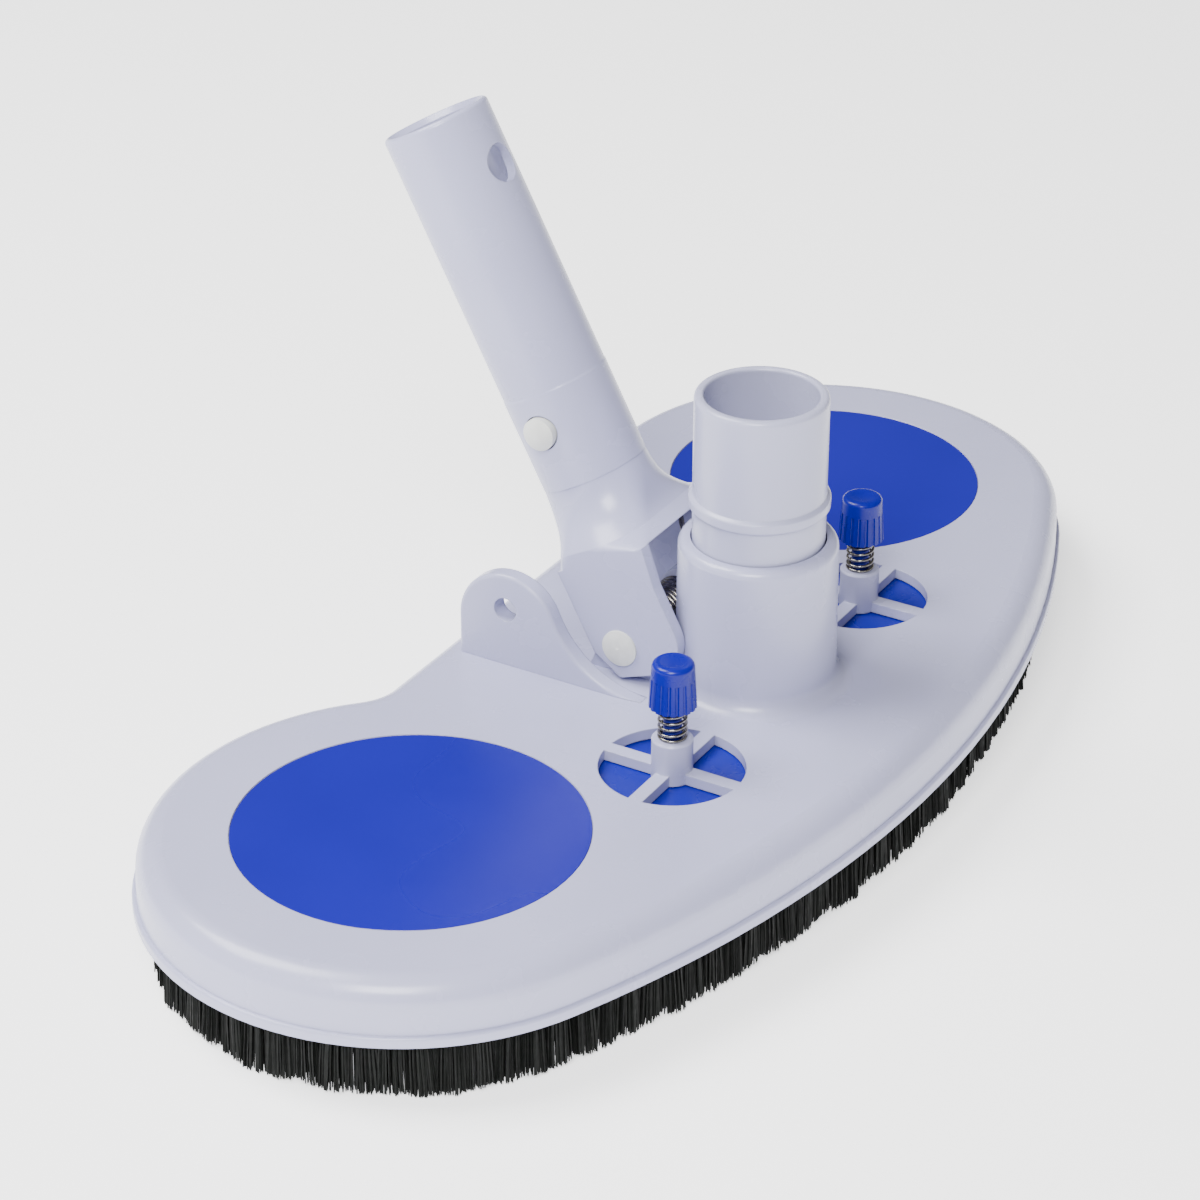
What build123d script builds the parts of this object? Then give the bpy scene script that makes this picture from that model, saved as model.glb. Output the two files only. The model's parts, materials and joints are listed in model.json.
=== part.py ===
from build123d import *
import os
from math import acos, asin, atan, atan2, cos, degrees, pi, radians, sin, sqrt

# Manual vacuum head for a swimming pool. Lengths are in mm, angles in degrees, +Z is up.
# The head is longest along X, its bowed front faces -Y, and the handle leans back towards +Y.
# Every sub-part is modelled about the deck's datum: the point on the deck's top plane midway
# between the two round lobes. to_floor() then moves it, so that the origin of the finished
# model is the bottom centre of its box, on the floor that the bristles stand on.

# ---------------------------------------------------------------- driving dimensions
LENGTH = 361.5          # overall, rim to rim
LOBE_X = 111.0          # centre of each round lobe, and of the weight and label in it
FRONT_R = 345.8         # radius of the bowed front of the rim
BACK_Y = 46.0           # straight middle of the back of the rim
BACK_BLEND = 12.0       # radius of the hollow between the straight back and a lobe
RIM_DROP = 16.6         # from the deck's top plane down to the rim's lower edge
BRISTLE_DROP = 34.0     # from the deck's top plane down to the bristle tips
WALL = 3.0              # moulded wall of the body
DRAFT = 2.0             # draft of the side wall
RIM_LIP = 1.0           # how far the flange round the rim stands out from the side wall
RIM_LIP_HEIGHT = 2.8
SHOULDER_R = 7.0        # round edge between the deck and the side wall

LABEL_R = 45.0
LABEL_THICK = 0.4
LABEL_RECESS = 0.5

HOSE_Y = -37.0          # upright axis of the hose port
COLLAR_R_LOW = 21.5
COLLAR_R_HIGH = 21.1
COLLAR_TOP = 41.5
COLLAR_BORE_R = 17.9
COLLAR_LIP_R = 2.4       # round edge of the collar's mouth
COLLAR_FOOT_R = 4.5      # hollow round the collar's foot
CUFF_R = 17.5           # swivel cuff that the hose pushes over
CUFF_BORE_R = 14.9
CUFF_TOP = 82.5
BEAD_R = 18.6           # raised ring that stops the hose
BEAD_Z = 52.6
BEAD_HEIGHT = 4.0
SWIVEL_FLANGE_R = 19.4
SWIVEL_FLANGE_THICK = 3.0
BOSS_R = 27.0           # boss under the deck that holds the swivel's retainer
BOSS_DROP = 10.0

VALVE_X = 52.4          # relief valves, one each side of the hose port
VALVE_Y = -41.2
VALVE_OPENING_R = 19.0
SPOKE_WIDTH = 4.0
HUB_R = 5.4
HUB_TOP = 8.8
VALVE_PLATE_R = 21.4
VALVE_PLATE_THICK = 2.0
STEM_R = 2.4
KNOB_R_LOW = 6.2
KNOB_R_HIGH = 5.45
KNOB_BASE = 18.1
KNOB_TOP = 30.8
KNOB_GROOVES = 18
KNOB_GROOVE_R = 0.5
KNOB_GROOVE_TOP = 25.9
KNOB_DISH = 0.35         # depth of the hollow in the knob's top
VALVE_SPRING_R = 3.5    # mean radius of the coil
VALVE_SPRING_WIRE = 0.8
VALVE_SPRING_PITCH = 1.7

PIVOT_Y = -8.1          # handle's pivot axis, along X
PIVOT_Z = 10.1
TILT = 28.41            # handle's lean from upright, on its front stop
TUBE_R = 14.6
TUBE_BORE_R = 12.0
TUBE_LOW = 43.5          # where the yoke's flare ends and the round tube starts
TUBE_BORE_LOW = 38.0     # floor of the tube's bore
TUBE_STOP_T = 70.0       # below here the tube is a little fuller, so that the pole grips
TUBE_STOP_R = 14.75
TUBE_MOUTH = 1.6         # lead-in chamfer of the bore
TUBE_END = 145.3        # along the handle from the pivot
TUBE_EDGE = 1.2         # round edge of the tube's mouth
CROSS_HOLE_R = 5.25
CROSS_HOLE_T = 128.3
BUTTON_T = 60.0
BUTTON_R = 4.5
BUTTON_PROUD = 3.0
YOKE_HALF = 22.0        # half the width over the yoke's cheeks
CHEEK = 3.8
CHEEK_FRONT = -18.5
CHEEK_BACK = 8.5
CHEEK_BOTTOM = -10.0
CHEEK_TOE_R = 10.0
YOKE_LOW = 24.5          # underside of the yoke's block, along the handle
YOKE_FRONT = -20.3
PIN_R = 4.0
PIN_HEAD_R = 5.1
PIN_HEAD_HEIGHT = 1.3
PIN_HEAD_DOME = 0.7
LUG_IN = 11.8           # the two lugs on the deck that carry the pin
LUG_OUT = 17.9
LUG_R = 7.5
TORSION_R = 6.0
TORSION_WIRE = 1.5
TORSION_PITCH = 1.59
TORSION_TURNS = 13.25
DECK_LEG = 13.2
DECK_LEG_DIP = 15.0      # how steeply the leg on the deck runs down
HANDLE_LEG = 27.8

EAR_IN = 25.0           # guard ears either side of the yoke
EAR_OUT = 30.0
EAR_Y = 22.0
EAR_Z = 12.0
EAR_R = 15.0
EAR_SLOPE_R = 29.0      # hollow slope from the ear down to the deck
EAR_HOLE_R = 3.4
EAR_HOLE_Y = 22.5
EAR_HOLE_Z = 16.7

BRUSH_INSET = 5.0       # outer face of the bristles, in from the rim's outline
BRUSH_WIDTH = 5.0
BASE_INSET = 4.6
BASE_WIDTH = 11.4
BASE_THICK = 6.0
WEIGHT_R = 40.0
WEIGHT_THICK = 9.0
POD_WALL = 2.5
COVER_R = 45.5
COVER_THICK = 1.6
COVER_SCREW_R = 47.6
SCREW_R = 1.45
SCREW_HEAD_R = 2.8

RUN = 0.06              # radial running clearance of a pin or stem
GAP = 0.3               # free gap between parts that move past each other

# ---------------------------------------------------------------- derived values
LOBE_R = LENGTH / 2 - LOBE_X
FRONT_REACH = FRONT_R - LOBE_R
FRONT_CENTRE_Y = sqrt(FRONT_REACH**2 - LOBE_X**2)
BLEND_X = LOBE_X - sqrt((LOBE_R + BACK_BLEND) ** 2 - (BACK_Y + BACK_BLEND) ** 2)
BOSS_BOTTOM = -BOSS_DROP
SHOULDER_Z = BOSS_BOTTOM + SWIVEL_FLANGE_THICK + 2 * GAP
HANDLE_AT = Pos(0, PIVOT_Y, PIVOT_Z) * Rot(-TILT, 0, 0)
BASE_BOTTOM = -RIM_DROP + 0.3
BASE_TOP = BASE_BOTTOM + BASE_THICK
SCREW_INSET = BASE_INSET + BASE_WIDTH - 3.2


def cylinder(radius, low, high, x=0.0, y=0.0):
    """An upright cylinder from one height to another."""
    return Pos(x, y, (low + high) / 2) * Cylinder(radius, high - low)


def box(x_low, x_high, y_low, y_high, z_low, z_high):
    """A box between its low and high corners."""
    centre = Pos((x_low + x_high) / 2, (y_low + y_high) / 2, (z_low + z_high) / 2)
    return centre * Box(x_high - x_low, y_high - y_low, z_high - z_low)


def slab_x(profile, x_low, x_high):
    """A plate whose outline lies in the YZ plane, between two X planes."""
    return Pos(x_low, 0, 0) * extrude(profile, amount=x_high - x_low)


def outline(inset):
    """The deck's plan outline moved inwards: two lobes, the bowed front and the straight back."""
    lobe = LOBE_R - inset
    front = FRONT_R - inset
    back_y = BACK_Y - inset
    blend = BACK_BLEND + inset
    front_x = front * LOBE_X / FRONT_REACH
    front_y = FRONT_CENTRE_Y * (1 - front / FRONT_REACH)
    blend_y = back_y + blend
    share = lobe / (lobe + blend)
    meet_x = LOBE_X + (BLEND_X - LOBE_X) * share
    meet_y = blend_y * share
    turn = (acos((blend_y - meet_y) / blend)) / 2
    mid_x = BLEND_X + blend * sin(turn)
    mid_y = blend_y - blend * cos(turn)
    edges = [ThreePointArc((-front_x, front_y), (0, FRONT_CENTRE_Y - front), (front_x, front_y))]
    edges.append(ThreePointArc((front_x, front_y), (LOBE_X + lobe, 0), (meet_x, meet_y)))
    edges.append(ThreePointArc((meet_x, meet_y), (mid_x, mid_y), (BLEND_X, back_y)))
    edges.append(Line((BLEND_X, back_y), (-BLEND_X, back_y)))
    edges.append(ThreePointArc((-BLEND_X, back_y), (-mid_x, mid_y), (-meet_x, meet_y)))
    edges.append(ThreePointArc((-meet_x, meet_y), (-LOBE_X - lobe, 0), (-front_x, front_y)))
    return make_face(Curve() + edges)


def outline_slab(inset, low, high, taper=0.0):
    """A slab of the deck's outline between two heights."""
    return Pos(0, 0, low) * extrude(outline(inset), amount=high - low, taper=taper)


def outline_ring(inset, width, low, high):
    """A band that follows the deck's outline."""
    return outline_slab(inset, low, high) - outline_slab(inset + width, low - 1, high + 1)


# ---------------------------------------------------------------- body
def brush_screw_places():
    """Where the brush base is screwed on: round each lobe, and along the front and the back."""
    places = []
    lobe = LOBE_R - SCREW_INSET
    front = FRONT_R - SCREW_INSET
    for side in (-1, 1):
        for angle in (-50, 5, 60):
            x = side * (LOBE_X + lobe * cos(radians(angle)))
            places.append((x, lobe * sin(radians(angle))))
        lean = radians(9.5)
        places.append((side * front * sin(lean), FRONT_CENTRE_Y - front * cos(lean)))
        places.append((side * 30.0, BACK_Y - SCREW_INSET))
    return places


def cover_screw_places(side):
    """Three screws round a weight cover, turned away from the relief valve."""
    places = []
    for angle in (35, 155, 275):
        x = side * (LOBE_X + COVER_SCREW_R * cos(radians(angle)))
        places.append((x, COVER_SCREW_R * sin(radians(angle))))
    return places


def retainer_screw_places():
    """Three screws round the swivel retainer."""
    radius = (SWIVEL_FLANGE_R + BOSS_R) / 2 + 0.2
    return [
        (radius * cos(radians(angle)), HOSE_Y + radius * sin(radians(angle)))
        for angle in (30, 150, 270)
    ]


def deck_shell():
    """The hollow deck: drafted side wall, round shoulder and a flange round the rim."""
    outer = outline_slab(RIM_LIP, -RIM_DROP, 0, taper=DRAFT)
    outer = fillet(outer.faces().sort_by(Axis.Z)[-1].edges(), SHOULDER_R)
    flange = outline_slab(0, -RIM_DROP, -RIM_DROP + RIM_LIP_HEIGHT)
    flange = fillet(flange.faces().sort_by(Axis.Z)[-1].edges(), 0.8)
    hollow = outline_slab(RIM_LIP + WALL, -RIM_DROP - 1, -WALL, taper=DRAFT)
    hollow = fillet(hollow.faces().sort_by(Axis.Z)[-1].edges(), SHOULDER_R - WALL)
    return outer + flange - hollow


def hose_collar():
    """The upright collar, with a round lip and a hollow foot on the deck."""
    draft = (COLLAR_R_LOW - COLLAR_R_HIGH) / COLLAR_TOP
    foot_r = COLLAR_R_LOW - draft * COLLAR_FOOT_R
    corner = 1 - cos(pi / 4)
    foot_mid = (foot_r + COLLAR_FOOT_R * corner, COLLAR_FOOT_R * corner)
    lip_mid = (COLLAR_R_HIGH - COLLAR_LIP_R * corner, COLLAR_TOP - COLLAR_LIP_R * corner)
    foot_out = (foot_r + COLLAR_FOOT_R, 0)
    foot_top = (foot_r, COLLAR_FOOT_R)
    lip_low = (COLLAR_R_HIGH, COLLAR_TOP - COLLAR_LIP_R)
    lip_top = (COLLAR_R_HIGH - COLLAR_LIP_R, COLLAR_TOP)
    edges = [Line((COLLAR_BORE_R, 0), foot_out), ThreePointArc(foot_out, foot_mid, foot_top)]
    edges.append(Line(foot_top, lip_low))
    edges.append(ThreePointArc(lip_low, lip_mid, lip_top))
    edges.append(Line(lip_top, (COLLAR_BORE_R, COLLAR_TOP)))
    edges.append(Line((COLLAR_BORE_R, COLLAR_TOP), (COLLAR_BORE_R, 0)))
    return Pos(0, HOSE_Y, 0) * revolve(Plane.XZ * make_face(Curve() + edges), Axis.Z)


def valve_web(side):
    """Four spokes and the hub that guides a relief valve's stem."""
    span = VALVE_OPENING_R + 1.0
    x = side * VALVE_X
    half = SPOKE_WIDTH / 2
    web = box(x - span, x + span, VALVE_Y - half, VALVE_Y + half, -WALL, 0)
    web += box(x - half, x + half, VALVE_Y - span, VALVE_Y + span, -WALL, 0)
    hub = cylinder(HUB_R, -WALL, HUB_TOP, x, VALVE_Y)
    hub = chamfer(hub.edges().group_by(Axis.Z)[-1], 0.5)
    return web + hub


def ear(side):
    """A guard ear: straight back, round top and a hollow slope down to the deck."""
    lean = asin((EAR_SLOPE_R - EAR_Z) / (EAR_SLOPE_R + EAR_R))
    meet = (EAR_Y - EAR_R * cos(lean), EAR_Z + EAR_R * sin(lean))
    slope_y = EAR_Y - (EAR_R + EAR_SLOPE_R) * cos(lean)
    bend = (lean - pi / 2) / 2
    slope_mid = (slope_y + EAR_SLOPE_R * cos(bend), EAR_SLOPE_R + EAR_SLOPE_R * sin(bend))
    top = (EAR_Y, EAR_Z + EAR_R)
    back_y = EAR_Y + EAR_R
    toe = (slope_y, 0.05)
    edges = [Line((slope_y, 0), (back_y, 0)), Line((back_y, 0), (back_y, EAR_Z))]
    edges.append(ThreePointArc((back_y, EAR_Z), top, meet))
    edges.append(ThreePointArc(meet, slope_mid, toe))
    edges.append(Line(toe, (slope_y, 0)))
    profile = Plane.YZ * make_face(Curve() + edges)
    low = EAR_IN if side > 0 else -EAR_OUT
    plate = slab_x(profile, low, low + EAR_OUT - EAR_IN)
    hole = Pos(low, EAR_HOLE_Y, EAR_HOLE_Z) * Rot(0, 90, 0) * Cylinder(EAR_HOLE_R, 20)
    crest = plate.edges().filter_by(lambda edge: edge.center().Z > 1.5)
    crest = crest.filter_by(lambda edge: abs(edge.tangent_at(0.5).X) < 0.5)
    return fillet(crest, 1.0) - hole


def pivot_lug(side):
    """A lug on the deck between the yoke's cheeks, bored for the pivot pin."""
    foot = 4.0
    points = [
        (PIVOT_Y + LUG_R + foot, 0),
        (PIVOT_Y + LUG_R, PIVOT_Z),
        (PIVOT_Y - LUG_R, PIVOT_Z),
        (PIVOT_Y - LUG_R - 1.0, 0),
    ]
    profile = Plane.YZ * make_face(Polyline(*points, close=True))
    profile += Plane.YZ * Pos(PIVOT_Y, PIVOT_Z) * Circle(LUG_R)
    low = LUG_IN if side > 0 else -LUG_OUT
    lug = slab_x(profile, low, low + LUG_OUT - LUG_IN)
    lug -= Pos(0, PIVOT_Y, PIVOT_Z) * Rot(0, 90, 0) * Cylinder(PIN_R + RUN, 2 * LUG_OUT + 2)
    return lug - hose_collar()


def underside():
    """Everything moulded under the deck: the swivel boss, weight pods, screw bosses and ribs."""
    under = -WALL / 2
    shape = cylinder(BOSS_R, BOSS_BOTTOM, under, 0, HOSE_Y)
    pod_drop = RIM_DROP - 2.2
    for side in (-1, 1):
        x = side * LOBE_X
        ring = cylinder(WEIGHT_R + 1 + POD_WALL, -pod_drop, under, x)
        shape += ring - cylinder(WEIGHT_R + 1, -pod_drop - 1, under + 1, x)
        for place in cover_screw_places(side):
            shape += cylinder(3.6, -pod_drop, under, *place)
    for place in brush_screw_places():
        shape += cylinder(3.0, BASE_TOP, under, *place)
    reach = LOBE_X - WEIGHT_R - 1
    shape += box(-reach, reach, 11.0, 13.2, -8.0, under)
    for side in (-1, 1):
        low = min(side * 16.0, side * 18.2)
        shape += box(low, low + 2.2, -12.0, BACK_Y - RIM_LIP - WALL, -8.0, under)
    return shape


def screw_pilots():
    """Pilot holes for every self-tapping screw, bored up from below."""
    cuts = []
    radius = SCREW_R + 0.05
    for side in (-1, 1):
        cuts += [cylinder(radius, -RIM_DROP, -3.6, *place) for place in cover_screw_places(side)]
    cuts += [cylinder(radius, BASE_TOP - 1, -2.6, *place) for place in brush_screw_places()]
    cuts += [cylinder(radius, BOSS_BOTTOM - 1, -3.4, *place) for place in retainer_screw_places()]
    return cuts


def body_shell():
    """The moulded deck, with the relief valves' openings and webs."""
    shell = deck_shell() + underside()
    shell -= cylinder(COLLAR_BORE_R, BOSS_BOTTOM - 1, 1, 0, HOSE_Y)
    shell -= cylinder(SWIVEL_FLANGE_R + GAP, BOSS_BOTTOM - 1, SHOULDER_Z, 0, HOSE_Y)
    for side in (-1, 1):
        x = side * VALVE_X
        shell -= cylinder(VALVE_OPENING_R, -WALL - 2, 1, x, VALVE_Y)
        shell += valve_web(side)
        shell -= cylinder(STEM_R + RUN, -WALL - 2, HUB_TOP + 1, x, VALVE_Y)
        shell -= cylinder(LABEL_R + 0.2, -LABEL_RECESS, 1, side * LOBE_X)
    for cut in screw_pilots():
        shell -= cut
    return shell


def label(side):
    """The round glossy label let into the top of a lobe."""
    disc = cylinder(LABEL_R, -LABEL_RECESS, -LABEL_RECESS + LABEL_THICK, side * LOBE_X)
    return chamfer(disc.edges().group_by(Axis.Z)[-1], 0.12)


# ---------------------------------------------------------------- hose port
def hose_swivel():
    """The cuff that turns in the collar, with the bead that stops the hose."""
    low = BOSS_BOTTOM + GAP
    half = BEAD_HEIGHT / 2
    slope = 0.8
    points = [
        (CUFF_BORE_R, low),
        (SWIVEL_FLANGE_R, low),
        (SWIVEL_FLANGE_R, low + SWIVEL_FLANGE_THICK),
        (CUFF_R, low + SWIVEL_FLANGE_THICK),
        (CUFF_R, BEAD_Z - half),
        (BEAD_R, BEAD_Z - half + slope),
        (BEAD_R, BEAD_Z + half - slope),
        (CUFF_R, BEAD_Z + half),
        (CUFF_R, CUFF_TOP),
        (CUFF_BORE_R, CUFF_TOP),
    ]
    profile = Plane.XZ * make_face(Polyline(*points, close=True))
    cuff = revolve(profile, Axis.Z)
    mouth = cuff.edges().group_by(Axis.Z)[-1].sort_by(SortBy.RADIUS)
    cuff = fillet(mouth[-1], 1.3)
    mouth = cuff.edges().filter_by(lambda edge: edge.center().Z > CUFF_TOP - 0.1)
    cuff = fillet(mouth.sort_by(SortBy.RADIUS)[0], 0.8)
    bead = cuff.edges().filter_by(
        lambda edge: abs(edge.center().Z - BEAD_Z) < half and edge.geom_type == GeomType.CIRCLE
    )
    cuff = fillet(bead.filter_by(lambda edge: edge.radius > BEAD_R - 0.1), 0.5)
    return Pos(0, HOSE_Y, 0) * cuff


def swivel_retainer():
    """The ring under the deck that keeps the swivel in its collar."""
    low = BOSS_BOTTOM - 3.0
    ring = cylinder(BOSS_R, low, BOSS_BOTTOM, 0, HOSE_Y)
    ring = chamfer(ring.edges().group_by(Axis.Z)[0], 0.8)
    ring -= cylinder(CUFF_BORE_R + 0.6, low - 1, BOSS_BOTTOM + 1, 0, HOSE_Y)
    for place in retainer_screw_places():
        ring -= cylinder(SCREW_R + 0.2, low - 1, BOSS_BOTTOM + 1, *place)
    return ring


# ---------------------------------------------------------------- handle
def along_x(radius, x_low, x_high, v=0.0, t=0.0):
    """A cylinder along X, placed by v across and t along the handle."""
    return Pos((x_low + x_high) / 2, v, t) * Rot(0, 90, 0) * Cylinder(radius, x_high - x_low)


def flare_section(half_width, front, back, t, front_r, back_r):
    """A section across the handle: a rectangle with its own corner radii in front and behind."""
    bend = 1 - cos(pi / 4)
    points = {}
    for side in (-1, 1):
        wide = side * half_width
        points[side] = [(wide - side * front_r, front)]
        points[side].append((wide - side * front_r * bend, front + front_r * bend))
        points[side].append((wide, front + front_r))
        points[side].append((wide, back - back_r))
        points[side].append((wide - side * back_r * bend, back - back_r * bend))
        points[side].append((wide - side * back_r, back))
    left = points[-1]
    right = points[1]
    edges = [Line(left[0], right[0]), ThreePointArc(right[0], right[1], right[2])]
    edges.append(Line(right[2], right[3]))
    edges.append(ThreePointArc(right[3], right[4], right[5]))
    edges.append(Line(right[5], left[5]))
    edges.append(ThreePointArc(left[5], left[4], left[3]))
    edges.append(Line(left[3], left[2]))
    edges.append(ThreePointArc(left[2], left[1], left[0]))
    return Pos(0, 0, t) * make_face(Curve() + edges)


def yoke_flare():
    """The yoke's block and the trumpet-shaped transition from it up to the tube."""
    neck = TUBE_STOP_R - 0.15
    shoulder = flare_section(YOKE_HALF, -16.4, 7.9, YOKE_LOW + 3.5, 13.0, 5.0)
    block = flare_section(YOKE_HALF, YOKE_FRONT, CHEEK_BACK, YOKE_LOW, 3.0, 2.5)
    trumpet = [shoulder, flare_section(19.6, -15.2, 9.5, YOKE_LOW + 6.5, 13.7, 8.0)]
    trumpet.append(flare_section(16.6, -14.9, 12.4, YOKE_LOW + 10.5, 14.2, 11.4))
    trumpet.append(flare_section(neck, -neck, neck, TUBE_LOW, neck - 0.1, neck - 0.1))
    return loft([block, shoulder], ruled=True) + loft(trumpet)


def cheek_blank():
    """The full-width block that the two cheeks are cut from."""
    top = YOKE_LOW
    toe_t = CHEEK_BOTTOM + CHEEK_TOE_R
    toe_v = CHEEK_FRONT + CHEEK_TOE_R
    bend = CHEEK_TOE_R * (1 - cos(pi / 4))
    toe_mid = (CHEEK_FRONT + bend, CHEEK_BOTTOM + bend)
    corners = [(toe_v, CHEEK_BOTTOM), (4.2, CHEEK_BOTTOM + 2.0), (CHEEK_BACK, toe_t + 0.5)]
    corners += [(CHEEK_BACK, top), (YOKE_FRONT, top), (CHEEK_FRONT, 13.0), (CHEEK_FRONT, toe_t)]
    edges = [Line(corners[index], corners[index + 1]) for index in range(len(corners) - 1)]
    edges.append(ThreePointArc((CHEEK_FRONT, toe_t), toe_mid, (toe_v, CHEEK_BOTTOM)))
    blank = slab_x(Plane.YZ * make_face(Curve() + edges), -YOKE_HALF, YOKE_HALF)
    heel = [
        edge
        for edge in blank.edges().filter_by(Axis.X)
        if edge.center().Y > 4.0 and edge.center().Z < toe_t + 1.0
    ]
    return fillet(heel, 1.5)


def handle_tube():
    """The tube that the pole slides over, a little fuller below the buttons."""
    tube = cylinder(TUBE_R, TUBE_LOW, TUBE_END)
    tube = fillet(tube.edges().group_by(Axis.Z)[-1], TUBE_EDGE)
    step = TUBE_STOP_R - TUBE_R
    stop = cylinder(TUBE_STOP_R, TUBE_LOW, TUBE_STOP_T)
    return tube + chamfer(stop.edges().group_by(Axis.Z)[-1], 4 * step, 0.98 * step)


def handle_yoke():
    """The handle: a tube that flares into a yoke with two cheeks, cored out from below."""
    inside = YOKE_HALF - CHEEK
    body = cheek_blank() + yoke_flare() + handle_tube()
    body -= box(-inside, inside, -30, 30, CHEEK_BOTTOM - 1, YOKE_LOW)
    core = box(-16.0, 16.0, -13.5, 4.5, YOKE_LOW - 1, YOKE_LOW + 3.5)
    body -= fillet(core.edges().filter_by(Axis.Z), 6.5)
    bore = cylinder(TUBE_BORE_R, TUBE_BORE_LOW, TUBE_END)
    lead = Pos(0, 0, TUBE_END - TUBE_MOUTH / 2)
    lead *= Cone(TUBE_BORE_R, TUBE_BORE_R + TUBE_MOUTH, TUBE_MOUTH)
    body -= bore + lead
    body -= along_x(PIN_R + 0.04, -YOKE_HALF - 1, YOKE_HALF + 1)
    body -= along_x(BUTTON_R + GAP, -TUBE_R - 2, TUBE_R + 2, 0, BUTTON_T)
    body -= Pos(0, 0, CROSS_HOLE_T) * Rot(90, 0, 0) * Cylinder(CROSS_HOLE_R, 2 * TUBE_R + 4)
    return HANDLE_AT * body


def domed_shank(radius, low, high, dome):
    """A round shank along X with a domed end at its high side."""
    slope_y = radius * 0.52
    ball = (radius**2 + dome**2) / (2 * dome)
    slope_x = high - ball + sqrt(ball**2 - slope_y**2)
    edges = [Line((low, 0), (low, radius)), Line((low, radius), (high - dome, radius))]
    edges.append(ThreePointArc((high - dome, radius), (slope_x, slope_y), (high, 0)))
    edges.append(Line((high, 0), (low, 0)))
    return revolve(make_face(Curve() + edges), Axis.X)


def pivot_pin():
    """The nylon pin that the handle turns on, headed on one side."""
    head = domed_shank(PIN_HEAD_R, YOKE_HALF, YOKE_HALF + PIN_HEAD_HEIGHT, PIN_HEAD_DOME)
    pin = along_x(PIN_R, -YOKE_HALF, YOKE_HALF) + mirror(head, Plane.YZ)
    pin -= along_x(1.6, YOKE_HALF - 12.0, YOKE_HALF + 1)
    return HANDLE_AT * pin


def pivot_pin_cap():
    """The headed plug pressed into the pin's open end."""
    head = domed_shank(PIN_HEAD_R, YOKE_HALF, YOKE_HALF + PIN_HEAD_HEIGHT, PIN_HEAD_DOME)
    cap = head + along_x(1.58, YOKE_HALF - 11.0, YOKE_HALF)
    return HANDLE_AT * cap


def coil(radius, wire, pitch, turns, start):
    """An upright round-wire coil."""
    path = Helix(pitch, pitch * turns, radius, center=start)
    section = Plane(origin=path @ 0, z_dir=path % 0) * Circle(wire / 2)
    return sweep(section, path=path, is_frenet=True)


def rod(start, direction, length, radius):
    """A straight round rod from a point."""
    line = Line(start, start + direction * length)
    return sweep(Plane(origin=start, z_dir=direction) * Circle(radius), path=line)


def torsion_spring():
    """The close-wound spring round the pin: one leg on the deck, one in the yoke's hollow."""
    length = TORSION_PITCH * TORSION_TURNS
    wire = TORSION_WIRE / 2
    path = Helix(TORSION_PITCH, length, TORSION_R, lefthand=True)
    path = Rot(0, 90, 0) * path
    begin = path @ 0
    turn = -90.0 - DECK_LEG_DIP - degrees(atan2(begin.Z, begin.Y))
    path = Pos(-length / 2, PIVOT_Y, PIVOT_Z) * Rot(turn, 0, 0) * path
    winding = sweep(Plane(origin=path @ 0, z_dir=path % 0) * Circle(wire), path=path, is_frenet=True)
    down = Vector(0, -(path % 0).Y, -(path % 0).Z).normalized()
    up = Vector(0, (path % 1).Y, (path % 1).Z).normalized()
    deck_leg = rod(path @ 0, down, DECK_LEG, wire)
    handle_leg = rod(path @ 1, up, HANDLE_LEG, wire)
    return winding + deck_leg + handle_leg


def spring_button(side):
    """A domed button that locks the pole, with the collar that keeps it inside the tube."""
    collar_x = 9.9
    button = domed_shank(BUTTON_R, collar_x, TUBE_R + BUTTON_PROUD, 1.6)
    button += along_x(BUTTON_R + 1.1, collar_x - 1.4, collar_x)
    button = Pos(0, 0, BUTTON_T) * button
    if side < 0:
        button = mirror(button, Plane.YZ)
    return HANDLE_AT * button


def clip_spring():
    """The bent leaf inside the tube that pushes both buttons outwards."""
    leaf = 0.9
    width = 8.0
    foot = 8.5 - leaf / 2 - 0.02
    low_t = BUTTON_T - 7.0
    high_t = BUTTON_T + 7.0
    apex_t = 99.0
    path = FilletPolyline(
        (-foot, low_t), (-foot, high_t), (0, apex_t), (foot, high_t), (foot, low_t), radius=3.0
    )
    strip = Plane.XZ * make_face(offset(path, leaf / 2, side=Side.BOTH))
    strip = extrude(strip, amount=width / 2, both=True)
    return HANDLE_AT * strip


# ---------------------------------------------------------------- relief valves
def valve_plate(side):
    """The disc that closes a relief opening from below, with its stem."""
    x = side * VALVE_X
    top = -WALL - GAP
    plate = cylinder(VALVE_PLATE_R, top - VALVE_PLATE_THICK, top, x, VALVE_Y)
    plate = chamfer(plate.edges().group_by(Axis.Z)[0], 0.6)
    stem = cylinder(STEM_R, top - VALVE_PLATE_THICK, KNOB_TOP - 3.0, x, VALVE_Y)
    return plate + chamfer(stem.edges().group_by(Axis.Z)[-1], 0.5)


def valve_spring(side):
    """The coil between the hub and the knob."""
    low = HUB_TOP + VALVE_SPRING_WIRE / 2 + 0.05
    high = KNOB_BASE - VALVE_SPRING_WIRE / 2 - 0.05
    start = (side * VALVE_X, VALVE_Y, low)
    turns = (high - low) / VALVE_SPRING_PITCH
    return coil(VALVE_SPRING_R, VALVE_SPRING_WIRE, VALVE_SPRING_PITCH, turns, start)


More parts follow.
